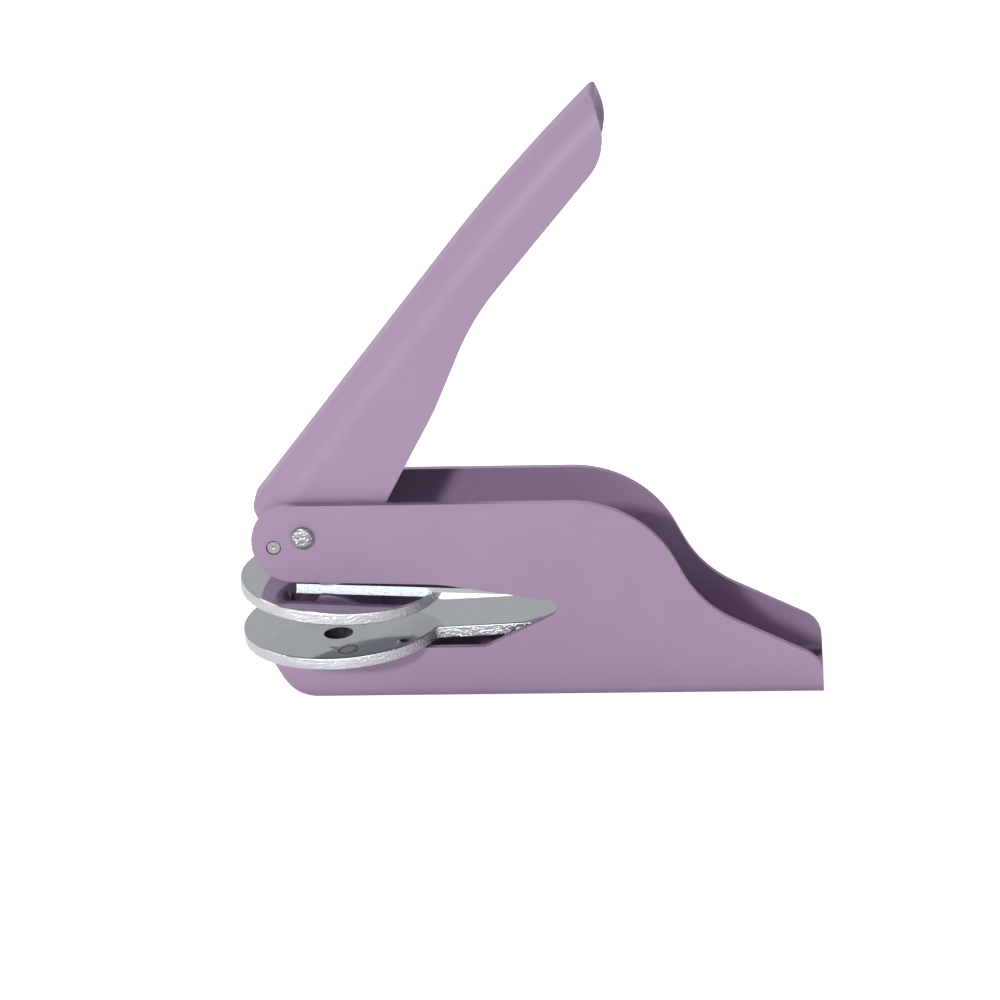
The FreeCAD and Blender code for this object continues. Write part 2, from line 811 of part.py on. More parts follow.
# Rear stack that carries both jaws
def wedge(label, corners, width, holes, low_chamfer=""):
    """A block with a side outline in the XZ plane, upright holes and, if asked, chamfered lower sides."""
    body = add_body(label + "_body")
    sketch = add_outline(body, label + "_side", "XZ_Plane", rounded(corners))
    padded = pad(body, sketch, width, both_ways=True)
    if low_chamfer:
        low = padded.Shape.BoundBox.ZMin
        edges = []
        for index, edge in enumerate(padded.Shape.Edges, start=1):
            ends = [vertex.Point for vertex in edge.Vertexes]
            if max(end.z for end in ends) - low < SAME_POINT and abs(ends[0].y - ends[1].y) < SAME_POINT:
                edges.append("Edge%d" % index)
        chamfer = body.newObject("PartDesign::Chamfer", label + "_chamfer")
        chamfer.Base = (padded, edges)
        bind(chamfer, Size=low_chamfer)
        doc.recompute()
    return cut(label, body, holes)


def make_stack():
    """Heel block, spacer and clamp plate, each cut to the planes of the jaws they carry."""
    thick = size("disc_thickness")
    leaf = size("leaf_thickness")
    plate = leaf + size("plate_thickness")
    front = STACK_FRONT
    rear = STACK_REAR
    heel = front - size("heel_ahead")
    upright = [
        [rod("%s_%d" % (piece, index), radius, "Sizes.wall_top", at(x, y, low))
         for index, (x, y, radius) in enumerate(stack_holes())]
        for piece, low in (("spacer_hole", size("sheet")), ("plate_hole", size("sheet")))
    ]
    wedge(
        "jaw_spacer",
        [
            (front, lower_plane(front), 0),
            (rear, lower_plane(rear), 0),
            (rear, upper_plane(rear), 0),
            (front, upper_plane(front), 0),
        ],
        STRIP_WIDTH,
        upright[0],
    )
    wedge(
        "clamp_plate",
        [
            (front, upper_plane(front, leaf), 0),
            (rear, upper_plane(rear, leaf), 0),
            (rear, upper_plane(rear, plate), size("rim_round")),
            (front, upper_plane(front, plate), size("rim_round")),
        ],
        STRIP_WIDTH,
        upright[1],
    )
    screw = stack_holes()[2]
    bite = lower_plane(screw[0], thick) - size("jaw_screw_bite")
    tools = [rod("heel_thread", screw[2], "Sizes.wall_top", at(screw[0], screw[1], bite))]
    for index, (x, y, radius) in enumerate(stack_holes()[:2]):
        sink = lower_plane(x, thick) - size("jaw_rivet_head_height") - 2 * size("jaw_rest_gap")
        tools.append(rod("heel_relief_%d" % index, RIVET_HEAD_SUM + " + Sizes.head_relief",
                         "Sizes.wall_top", at(x, y, sink)))
    for index, x in enumerate(heel_screw_places()):
        tools.append(rod("heel_tap_%d" % index, "Sizes.heel_screw_radius + Sizes.thread_clearance",
                         "Sizes.heel_screw_length - Sizes.sheet + Sizes.overrun", at(x, 0, 0)))
    wedge(
        "heel_block",
        [
            (heel, size("sheet"), 0),
            (rear, size("sheet"), 0),
            (rear, lower_plane(rear, thick), 0),
            (heel, lower_plane(heel, thick), 0),
        ],
        STRIP_WIDTH,
        tools,
        "Sizes.bend_radius - Sizes.sheet",
    )


def make_stack_fasteners():
    """Two rivets through the stack, the jaw screw with its lock washer, and two heel screws."""
    thick = size("disc_thickness")
    plate = size("leaf_thickness") + size("plate_thickness")
    for label, (x, y, _) in zip(("jaw_rivet_near", "jaw_rivet_far"), stack_holes()):
        head = RIVET_HEAD
        tall = size("jaw_rivet_head_height")
        shank = RIVET_SHANK
        # Each head sits square on a face that leans a little
        lean = head * math.tan(TILT)
        low = lower_plane(x, thick)
        high = upper_plane(x, plate)
        turned(
            label,
            [
                (0, low - tall, 0),
                (head, low - tall, tall * EDGE_SHARE),
                (head, low - lean, 0),
                (shank, low - lean, 0),
                (shank, high + lean, 0),
                (head, high + lean, 0),
                (head, high + tall, tall * EDGE_SHARE),
                (0, high + tall, 0),
            ],
            at(x, y, 0),
        )

    x = stack_holes()[2][0]
    seat = upper_plane(x - size("lock_washer_radius"), plate)
    washer_top = seat + size("lock_washer_thickness")
    shank = size("jaw_screw_radius")
    head = size("jaw_screw_head_radius")
    top = washer_top + size("jaw_screw_head_height")
    tip = lower_plane(x, thick) - size("jaw_screw_bite") + size("running_clearance")
    screw = turned(
        "jaw_screw_blank",
        [
            (0, tip, 0),
            (shank, tip, size("rim_round")),
            (shank, washer_top, 0),
            (head, washer_top, 0),
            (head, top, size("jaw_screw_head_height") * EDGE_SHARE),
            (0, top, 0),
        ],
        at(x, 0, 0),
    )
    slot = doc.addObject("Part::Box", "jaw_screw_slot_cut")
    bind(slot, Length="Sizes.jaw_screw_slot", Width="2 * Sizes.jaw_screw_head_radius + 2 * Sizes.overrun",
         Height="Sizes.jaw_screw_head_height")
    slot_low = top - size("jaw_screw_head_height") / 2
    slot.Placement = at(x - size("jaw_screw_slot") / 2, -head - OVERRUN, slot_low)
    cut("jaw_screw", screw, [slot])

    ring = turned(
        "lock_washer_ring",
        [
            (shank + size("running_clearance"), seat, 0),
            (size("lock_washer_radius"), seat, 0),
            (size("lock_washer_radius"), washer_top, 0),
            (shank + size("running_clearance"), washer_top, 0),
        ],
        at(x, 0, 0),
    )
    split = doc.addObject("Part::Box", "lock_washer_gap")
    bind(split, Length="Sizes.lock_washer_radius + Sizes.overrun", Width="Sizes.lock_washer_split",
         Height="Sizes.lock_washer_thickness + 2 * Sizes.overrun")
    split.Placement = at(x, -size("lock_washer_split") / 2, seat - OVERRUN)
    cut("lock_washer", ring, [split])

    sink = size("heel_screw_recess")
    for label, x in zip(("heel_screw_front", "heel_screw_rear"), heel_screw_places()):
        head = size("heel_screw_head_radius")
        shank = size("heel_screw_radius")
        turned(
            label,
            [
                (0, sink, 0),
                (head, sink, 0),
                (shank, size("sheet"), 0),
                (shank, size("heel_screw_length"), 0),
                (0, size("heel_screw_length"), 0),
            ],
            at(x, 0, 0),
        )


# Torsion spring: one round wire, coiled about the bush, with a leg under the spine and a tail at the stop pin
def arc_with_tangent(start, tangent, end, reach):
    """The arc from start, along its tangent, to end: both lie reach away from the tangents' meeting point."""
    corner = start + tangent * reach
    chord = end - start
    middle = start + chord * 0.5
    half = chord.getAngle(tangent)
    sag = chord.Length / 2 * math.tan(half / 2)
    toward = (corner - middle).normalize()
    return Part.Arc(start, middle + toward * sag, end).toShape()


def biarc(start, first, end, last):
    """Two tangent arcs from one point and direction to another."""
    gap = end - start
    both = first + last
    spread = 2 * (1 - first.dot(last))
    along = gap.dot(both)
    reach = (-along + math.sqrt(along * along + spread * gap.dot(gap))) / spread
    joint = (start + end + (first - last) * reach) * 0.5
    back = arc_with_tangent(end, last * -1, joint, reach)
    front = arc_with_tangent(start, first, joint, reach)
    middle = back.valueAt((back.FirstParameter + back.LastParameter) / 2)
    return [front, Part.Arc(joint, middle, end).toShape()]


def least_distance(edges):
    """Least distance between points of the path that are more than two arcs apart along it."""
    runs = [edge.discretize(SPRING_STEPS) for edge in edges]
    least = min(edge.Length for edge in edges[1:-1]) * len(edges)
    for index, run in enumerate(runs):
        for other in runs[index + 3:]:
            for point in run:
                least = min(least, min((point - far).Length for far in other))
    return least


def make_spring():
    """The spring's wire as one unbroken tube."""
    radius = size("spring_radius")
    wire = size("spring_wire")
    half = LEVER_INNER - wire / 2 - size("spring_side_gap")
    # The leg lies in the rounded inner shoulder of the spine, and the tail against the stop pin's shoulder
    inner_round = size("spine_radius") - size("lever_sheet")
    aside = half - (LEVER_INNER - inner_round)
    inside = inner_round - wire / 2 - size("spring_gap")
    slope = (size("spine_knee_height") - size("spine_front")) / size("spine_knee")
    shoulder = size("spine_front") - size("spine_radius") + math.sqrt(inside ** 2 - aside ** 2)
    web = shoulder + slope * size("spring_leg")
    lean = math.degrees(math.asin((web - radius) / size("spring_leg")))
    leg_way = size("lever_angle") + lean
    first_turn = leg_way + 90
    to_stop = STOP - PIVOT
    stop_way = math.degrees(math.atan2(to_stop.z, to_stop.x)) % 360
    reach = radius + size("stop_shoulder_radius") + wire / 2 + size("spring_gap")
    last_turn = stop_way - math.degrees(math.acos(reach / to_stop.Length))
    sweep = last_turn - first_turn + 360 * size("spring_turns")

    def coil_point(degrees):
        turn = math.radians(first_turn + degrees)
        y = -half + 2 * half * degrees / sweep
        return PIVOT + Vector(radius * math.cos(turn), y, radius * math.sin(turn))

    def coil_way(degrees):
        turn = math.radians(first_turn + degrees)
        climb = 2 * half / math.radians(sweep)
        if degrees <= 0 or degrees >= sweep:
            climb = 0
        return Vector(-radius * math.sin(turn), climb, radius * math.cos(turn)).normalize()

    steps = round(sweep / 90)
    stations = [sweep * index / steps for index in range(steps + 1)]
    start = coil_point(0)
    end = coil_point(sweep)
    edges = [Part.LineSegment(start - coil_way(0) * size("spring_leg"), start).toShape()]
    for here, there in zip(stations, stations[1:]):
        edges += biarc(coil_point(here), coil_way(here), coil_point(there), coil_way(there))
    edges.append(Part.LineSegment(end, end + coil_way(sweep) * size("spring_tail")).toShape())
    path = Part.Wire(edges)
    tip = start - coil_way(0) * size("spring_leg")
    section = Part.Wire(Part.Circle(tip, coil_way(0), wire / 2).toShape())
    tube = path.makePipeShell([section], True, False)
    if tube.ShapeType != "Solid":
        tube = Part.Solid(tube)
    if tube.Volume < 0:
        tube.reverse()
    full = math.pi * wire * wire / 4 * path.Length
    print("spring: wire length %.1f, volume %.1f against %.1f" % (path.Length, tube.Volume, full))
    print("spring: least gap to itself %.2f" % (least_distance(edges) - wire))
    spring = doc.addObject("Part::Feature", "torsion_spring")
    spring.Label = "torsion_spring"
    spring.Shape = tube
    return spring


make_frame_channel()
make_pivot()
make_stop_pin()
make_lever()
make_upper_disc()
make_leaf()
make_lower_jaw()
make_disc_rivets()
make_stack()
make_stack_fasteners()
make_spring()
doc.recompute()

NODES = [
    "frame_channel",
    "pivot_rivet",
    "pivot_bush",
    "stop_pin",
    "handle_lever",
    "torsion_spring",
    "upper_disc",
    "leaf_spring",
    "disc_rivet",
    "locating_rivet",
    "lower_jaw",
    "jaw_spacer",
    "clamp_plate",
    "heel_block",
    "jaw_rivet_near",
    "jaw_rivet_far",
    "jaw_screw",
    "lock_washer",
    "heel_screw_front",
    "heel_screw_rear",
]

for obj in doc.Objects:
    if "Invalid" in obj.State or "Error" in obj.State:
        raise RuntimeError("%s did not build: %s" % (obj.Label, obj.State))
shapes = {}
for node in NODES:
    shape = doc.getObjectsByLabel(node)[0].Shape
    if shape.isNull() or not shape.isValid() or not shape.Solids:
        raise RuntimeError("%s has no valid solid" % node)
    shapes[node] = shape

os.makedirs("parts", exist_ok=True)
for node, shape in shapes.items():
    shape.exportStep("parts/%s.step" % node)
    box = shape.BoundBox
    print("%-16s solids %d volume %9.1f  x %.1f..%.1f y %.1f..%.1f z %.1f..%.1f" % (
        node, len(shape.Solids), shape.Volume, box.XMin, box.XMax, box.YMin, box.YMax, box.ZMin, box.ZMax))
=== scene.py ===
"""A seal embosser in matte mauve powder coat with chromed jaws, on a plain pale floor.

Lengths are millimetres in the dataclasses and metres in the meshes. The frame is the
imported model's own: origin under the middle of the base, +X to the rear, +Z up.
"""

import json
import logging
import math
from dataclasses import dataclass
from enum import Enum
from typing import Any, Iterable, Optional

import bmesh
import bpy
from mathutils import Matrix, Vector

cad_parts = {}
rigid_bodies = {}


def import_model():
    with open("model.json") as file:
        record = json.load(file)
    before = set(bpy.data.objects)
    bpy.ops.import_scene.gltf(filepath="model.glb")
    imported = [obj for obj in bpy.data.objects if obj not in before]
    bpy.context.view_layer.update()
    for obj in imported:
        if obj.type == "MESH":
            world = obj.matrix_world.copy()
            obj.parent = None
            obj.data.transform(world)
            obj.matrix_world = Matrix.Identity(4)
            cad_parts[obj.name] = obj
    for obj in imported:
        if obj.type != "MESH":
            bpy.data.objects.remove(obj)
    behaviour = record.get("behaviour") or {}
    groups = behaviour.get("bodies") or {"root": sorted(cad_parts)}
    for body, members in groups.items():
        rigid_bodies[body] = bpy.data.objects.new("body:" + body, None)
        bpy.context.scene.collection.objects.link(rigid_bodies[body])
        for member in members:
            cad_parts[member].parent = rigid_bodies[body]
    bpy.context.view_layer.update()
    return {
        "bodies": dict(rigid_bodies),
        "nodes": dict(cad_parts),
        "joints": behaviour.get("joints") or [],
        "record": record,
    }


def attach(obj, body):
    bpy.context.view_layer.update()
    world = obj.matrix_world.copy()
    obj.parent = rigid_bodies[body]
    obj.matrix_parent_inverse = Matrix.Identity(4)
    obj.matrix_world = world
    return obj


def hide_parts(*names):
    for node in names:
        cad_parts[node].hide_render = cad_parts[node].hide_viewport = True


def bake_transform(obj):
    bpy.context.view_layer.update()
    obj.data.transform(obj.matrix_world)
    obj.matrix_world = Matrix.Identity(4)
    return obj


LOG = logging.getLogger("seal_embosser")
MM = 0.001
# Axis of the small hole in the lower plate, x and y in millimetres
HOLE_PLACE = (-47.6, -8.1)
# Vertices nearer than this are one, and a cut this near to a vertex goes through it
WELD_MM = 0.001
SNAP_MM = 0.0005
# Degrees: faces flatter to each other merge, edges sharper get a rounding or stay crisp
FLAT_ANGLE = 0.4
ROUNDED_ANGLE = 35.0
CRISP_ANGLE = 38.0


class Plane(Enum):
    """Which side of a stamped plate a face belongs to."""

    FLAT = 0
    RIM = 1
    BORE = 2


def linear(hex_colour: str) -> tuple[float, float, float, float]:
    """Turns an sRGB hex colour into linear RGBA.

    Args:
        hex_colour: Six hex digits, with or without a leading hash.

    Returns:
        Linear red, green and blue, and an alpha of 1.
    """
    digits = hex_colour.lstrip("#")
    channels = []
    for place in (0, 2, 4):
        value = int(digits[place : place + 2], 16) / 255
        channels.append(value / 12.92 if value <= 0.04045 else ((value + 0.055) / 1.055) ** 2.4)
    return (channels[0], channels[1], channels[2], 1.0)


def per_metre(millimetres: float) -> float:
    """Texture scale whose features are this many millimetres apart."""
    return 1.0 / (millimetres * MM)


def add_node(
    tree: bpy.types.NodeTree,
    kind: str,
    settings: Optional[dict] = None,
    links: Optional[dict] = None,
) -> bpy.types.Node:
    """Adds one shader node with its settings and the sockets that feed it.

    Args:
        tree: The node tree to add to.
        kind: The node's type name.
        settings: Values by name: lower-case names are the node's own properties, all
            others (and numbers) are input sockets.
        links: Output sockets by the name or number of the input that they feed.

    Returns:
        The new node.
    """
    node = tree.nodes.new(kind)
    for name, value in (settings or {}).items():
        if isinstance(name, str) and name[0].islower():
            setattr(node, name, value)
        else:
            node.inputs[name].default_value = value
    for name, source in (links or {}).items():
        tree.links.new(source, node.inputs[name])
    return node


def blank_material(name: str) -> tuple[bpy.types.Material, bpy.types.NodeTree, bpy.types.Node]:
    """Makes a material that holds only an output.

    Args:
        name: The material's name.

    Returns:
        The material, its node tree and its output node.
    """
    material = bpy.data.materials.new(name)
    material.use_nodes = True
    tree = material.node_tree
    tree.nodes.clear()
    return material, tree, add_node(tree, "ShaderNodeOutputMaterial")


@dataclass(frozen=True)
class PowderCoat:
    """Polyester powder coat, sprayed and baked: a fine, even matte skin with a faint peel."""

    name: str = "mauve_powder_coat"
    colour: str = "#A890AE"
    shade: str = "#9F86A5"
    roughness: float = 0.49
    peel_mm: float = 1.1
    grit_mm: float = 0.22
    drift_mm: float = 22.0
    peel_height_mm: float = 0.012
    grit_height_mm: float = 0.010

    def material(self) -> bpy.types.Material:
        """Builds the coat.

        Returns:
            The finished material.
        """
        material, tree, output = blank_material(self.name)
        place = add_node(tree, "ShaderNodeTexCoord").outputs["Object"]
        # The film is a little thinner here and there, which shifts its colour slightly
        drift = add_node(
            tree,
            "ShaderNodeTexNoise",
            {"Scale": per_metre(self.drift_mm), "Detail": 3.0, "Roughness": 0.6},
            {"Vector": place},
        )
        tint = add_node(
            tree,
            "ShaderNodeMix",
            {"data_type": "RGBA", 6: linear(self.shade), 7: linear(self.colour)},
            {0: drift.outputs["Fac"]},
        )
        # Slow orange peel under a fine grit, both drawn slightly coarser than life to show
        peel = add_node(
            tree,
            "ShaderNodeTexNoise",
            {"Scale": per_metre(self.peel_mm), "Detail": 2.0, "Roughness": 0.5},
            {"Vector": place},
        )
        grit = add_node(
            tree,
            "ShaderNodeTexNoise",
            {"Scale": per_metre(self.grit_mm), "Detail": 1.0, "Roughness": 0.5},
            {"Vector": place},
        )
        coarse = add_node(
            tree,
            "ShaderNodeBump",
            {"Strength": 1.0, "Distance": self.peel_height_mm * MM},
            {"Height": peel.outputs["Fac"]},
        )
        fine = add_node(
            tree,
            "ShaderNodeBump",
            {"Strength": 1.0, "Distance": self.grit_height_mm * MM},
            {"Height": grit.outputs["Fac"], "Normal": coarse.outputs["Normal"]},
        )
        coat = add_node(
            tree,
            "ShaderNodeBsdfPrincipled",
            {"Roughness": self.roughness, "IOR": 1.5},
            {"Base Color": tint.outputs[2], "Normal": fine.outputs["Normal"]},
        )
        tree.links.new(coat.outputs["BSDF"], output.inputs["Surface"])
        return material


@dataclass(frozen=True)
class BrightMetal:
    """A metal surface with a polish, drawn or sheared grain, and a small uneven gloss."""

    name: str
    colour: str
    roughness: float
    gloss_change: float = 0.06
    grain_mm: tuple[float, float, float] = (1.0, 1.0, 1.0)
    grain_height_mm: float = 0.002
    cloud_mm: float = 6.0

    def material(self) -> bpy.types.Material:
        """Builds the metal.

        Returns:
            The finished material.
        """
        material, tree, output = blank_material(self.name)
        place = add_node(tree, "ShaderNodeTexCoord").outputs["Object"]
        stretch = add_node(
            tree,
            "ShaderNodeMapping",
            {"Scale": tuple(per_metre(step) for step in self.grain_mm)},
            {"Vector": place},
        )
        grain = add_node(
            tree,
            "ShaderNodeTexNoise",
            {"Scale": 1.0, "Detail": 3.0, "Roughness": 0.6},
            {"Vector": stretch.outputs["Vector"]},
        )
        # Handling and plating leave the gloss uneven from one place to the next
        cloud = add_node(
            tree,
            "ShaderNodeTexNoise",
            {"Scale": per_metre(self.cloud_mm), "Detail": 4.0, "Roughness": 0.6},
            {"Vector": place},
        )
        gloss = add_node(
            tree,
            "ShaderNodeMapRange",
            {
                "From Min": 0.3,
                "From Max": 0.7,
                "To Min": max(0.01, self.roughness - self.gloss_change),
                "To Max": self.roughness + self.gloss_change,
            },
            {"Value": cloud.outputs["Fac"]},
        )
        bump = add_node(
            tree,
            "ShaderNodeBump",
            {"Strength": 1.0, "Distance": self.grain_height_mm * MM},
            {"Height": grain.outputs["Fac"]},
        )
        metal = add_node(
            tree,
            "ShaderNodeBsdfPrincipled",
            {"Base Color": linear(self.colour), "Metallic": 1.0},
            {"Roughness": gloss.outputs["Result"], "Normal": bump.outputs["Normal"]},
        )
        tree.links.new(metal.outputs["BSDF"], output.inputs["Surface"])
        return material


# Decorative chromium over polished nickel: a cool mirror
CHROME = BrightMetal(
    name="polished_chromium",
    colour="#C4C7CA",
    roughness=0.05,
    gloss_change=0.03,
    grain_mm=(9.0, 0.6, 9.0),
    grain_height_mm=0.0006,
    cloud_mm=9.0,
)
# The same plating over a sheared edge. The tears that the punch left are drawn coarser and
# deeper than life, or they would be lost in a picture of the whole object
SHEARED_RIM = BrightMetal(
    name="sheared_rim_chromium",
    colour="#D2D4D7",
    roughness=0.1,
    gloss_change=0.04,
    grain_mm=(0.65, 0.65, 0.5),
    grain_height_mm=0.34,
    cloud_mm=1.5,
)
# The plated edge of the thin leaf, cut cleanly, its grain drawn coarser than life
CLEAN_EDGE = BrightMetal(
    name="cut_edge_chromium",
    colour="#D2D4D7",
    roughness=0.08,
    gloss_change=0.03,
    grain_mm=(0.7, 0.4, 0.4),
    grain_height_mm=0.1,
    cloud_mm=1.5,
)
# Wall of a small punched hole, in dark dull steel: painted shade for the dark inside of the hole
SHADED_BORE = BrightMetal(
    name="bore_painted_shade",
    colour="#66676C",
    roughness=0.42,
    gloss_change=0.08,
    grain_mm=(0.4, 0.4, 0.8),
    grain_height_mm=0.03,
    cloud_mm=1.5,
)
# Peened mild steel, zinc plated: soft sparkle from the hammer's marks, drawn deeper than life
PEENED_STEEL = BrightMetal(
    name="peened_zinc_steel",
    colour="#ADADB0",
    roughness=0.13,
    gloss_change=0.05,
    grain_mm=(1.2, 1.2, 1.2),
    grain_height_mm=0.75,
    cloud_mm=1.2,
)
# Turned mild steel: fine rings from the lathe tool
TURNED_STEEL = BrightMetal(
    name="turned_steel",
    colour="#B3B2B4",
    roughness=0.3,
    gloss_change=0.08,
    grain_mm=(0.5, 4.0, 0.5),
    grain_height_mm=0.02,
    cloud_mm=2.0,
)
# Cold drawn music wire with a little oil on it
DRAWN_WIRE = BrightMetal(
    name="drawn_wire",
    colour="#8E8F94",
    roughness=0.34,
    gloss_change=0.08,
    grain_mm=(0.4, 0.4, 0.4),
    grain_height_mm=0.006,
    cloud_mm=1.5,
)
# Zinc plated bar stock, tumbled
PLATED_STEEL = BrightMetal(
    name="plated_steel",
    colour="#A9ACB0",
    roughness=0.36,
    gloss_change=0.08,
    grain_mm=(0.8, 0.8, 0.8),
    grain_height_mm=0.008,
    cloud_mm=3.0,
)


def softened_copy(
    node: bpy.types.Object,
    name: str,
    round_mm: float = 0.0,
    segments: int = 3,
) -> bpy.types.Object:
    """Copies a CAD node as one closed mesh with its sharp edges rounded.

    Args:
        node: The CAD node's object.
        name: The new piece's name.
        round_mm: Width of the rounding, or zero to leave the edges sharp.
        segments: Faces across each rounding.

    Returns:
        The new piece, linked to the scene.
    """
    shape = bmesh.new()
    shape.from_mesh(node.data)
    bmesh.ops.remove_doubles(shape, verts=shape.verts, dist=WELD_MM * MM)
    bmesh.ops.dissolve_limit(
        shape,
        angle_limit=math.radians(FLAT_ANGLE),
        use_dissolve_boundaries=False,
        verts=shape.verts,
        edges=shape.edges,
    )
    if round_mm:
        joined = [edge for edge in shape.edges if len(edge.link_faces) == 2]
        sharp = [edge for edge in joined if edge.calc_face_angle() > math.radians(ROUNDED_ANGLE)]
        bmesh.ops.bevel(
            shape,
            geom=sharp,
            offset=round_mm * MM,
            offset_type="OFFSET",
            segments=segments,
            profile=0.5,
            affect="EDGES",
            material=-1,
            clamp_overlap=True,
        )
    for face in shape.faces:
        face.smooth = True
    mesh = bpy.data.meshes.new(name)
    shape.to_mesh(mesh)
    shape.free()
    mesh.set_sharp_from_angle(angle=math.radians(CRISP_ANGLE))
    piece = bpy.data.objects.new(name, mesh)
    bpy.context.scene.collection.objects.link(piece)
    even = piece.modifiers.new("even_normals", "WEIGHTED_NORMAL")
    even.keep_sharp = True
    return piece


def dress(piece: bpy.types.Object, *materials: bpy.types.Material) -> None:
    """Gives a piece these materials in place of its own."""
    piece.data.materials.clear()
    for material in materials:
        piece.data.materials.append(material)


@dataclass
class Assembly:
    """A group of pieces that ride on one body of the frame."""

    frame: dict
    body: str

    def node(self, name: str) -> bpy.types.Object:
        """The CAD node of that name."""
        return self.frame["nodes"][name]

    def stand_for(self, piece: bpy.types.Object, node: str) -> None:
        """Makes a piece ride on this body and show in place of a CAD node.

        Args:
            piece: The finished piece.
            node: The CAD node that it replaces.
        """
        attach(piece, self.body)
        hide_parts(node)
        LOG.info("%s stands for %s", piece.name, node)

    def finish_node(self, name: str, material: bpy.types.Material) -> None:
        """Gives a CAD node its material."""
        dress(self.node(name), material)
        LOG.info("%s is dressed in %s", name, material.name)


@dataclass
class PaintedSheet(Assembly):
    """A bent steel sheet under powder coat, whose cut edges the coat rounds."""

    edge_round_mm: float = 0.45

    def build(self, node: str, name: str, coat: bpy.types.Material) -> bpy.types.Object:
        """Makes the coated sheet in place of its CAD node.

        Args:
            node: The CAD node of the bare sheet.
            name: The coated piece's name.
            coat: The powder coat.

        Returns:
            The coated piece.
        """
        piece = softened_copy(self.node(node), name, self.edge_round_mm)
        dress(piece, coat)
        self.stand_for(piece, node)
        return piece


@dataclass
class StampedPlate(Assembly):
    """A chromed stamping: polished faces and a sheared rim.

    A face is the rim's where the upright part of its normal is below rim_slope, and a
    small hole's wall where it is also within bore_reach_mm of the hole's axis.
    """

    rim_slope: float = 0.35
    bore_reach_mm: float = 3.6

    def build(
        self,
        node: str,
        name: str,
        polished: bpy.types.Material,
        rim: bpy.types.Material,
        bore: bpy.types.Material,
        bores_mm: tuple[tuple[float, float], ...] = (),
    ) -> bpy.types.Object:
        """Makes the plated stamping in place of its CAD node.

        Args:
            node: The CAD node of the stamping.
            name: The plated piece's name.
            polished: The finish of the flat faces.
            rim: The finish of the sheared sides.
            bore: The dark finish of the walls of small holes, which paints the shade inside them.
            bores_mm: Axes of the small holes that show, x and y.

        Returns:
            The plated piece.
        """
        piece = softened_copy(self.node(node), name)
        dress(piece, polished, rim, bore)
        for face in piece.data.polygons:
            side = Plane.RIM if abs(face.normal.z) < self.rim_slope else Plane.FLAT
            across, along = face.center.x / MM, face.center.y / MM
            gaps = [math.hypot(across - x, along - y) for x, y in bores_mm]
            if side is Plane.RIM and min(gaps, default=math.inf) < self.bore_reach_mm:
                side = Plane.BORE
            face.material_index = side.value
        self.stand_for(piece, node)
        return piece


@dataclass
class SpringLeaf(StampedPlate):
    """The upper jaw's leaf, which bends between the clamp and the disc.

    clamp_mm and disc_mm are places along X where the bend starts and ends. The leaf is cut
    across into this many slices between them, ready for a smooth bend.
    """

    clamp_mm: float = -1.0
    disc_mm: float = -25.5
    slices: int = 18

    def stand_for(self, piece: bpy.types.Object, node: str) -> None:
        """Cuts the leaf across into slices between clamp and disc, and shows it in place of its CAD
        node.

        Args:
            piece: The finished leaf.
            node: The CAD node that it replaces.
        """
        shape = bmesh.new()
        shape.from_mesh(piece.data)
        for index in range(self.slices + 1):
            ahead = self.clamp_mm + (self.disc_mm - self.clamp_mm) * index / self.slices
            bmesh.ops.bisect_plane(
                shape,
                geom=[*shape.verts, *shape.edges, *shape.faces],
                dist=SNAP_MM * MM,
                plane_co=(ahead * MM, 0.0, 0.0),
                plane_no=(1.0, 0.0, 0.0),
            )
        shape.to_mesh(piece.data)
        shape.free()
        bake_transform(piece)
        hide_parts(node)
        LOG.info("%s bends between frame and %s", piece.name, self.body)


@dataclass
class CoilSpring(Assembly):
    """The return spring, whose leg bears on the lever and whose tail rests at the stop pin.

    half_mm is half of the coil's length along Y; it is not used.
    """

    half_mm: float = 5.85

    def build(self, node: str, name: str, wire: bpy.types.Material) -> bpy.types.Object:
        """Makes the spring's piece in place of its CAD node.

        Args:
            node: The CAD node of the spring.
            name: The wound piece's name.
            wire: The spring's finish.

        Returns:
            The wound piece.
        """
        piece = softened_copy(self.node(node), name)
        dress(piece, wire)
        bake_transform(piece)
        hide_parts(node)
        LOG.info("%s winds up between %s and frame", piece.name, self.body)
        return piece


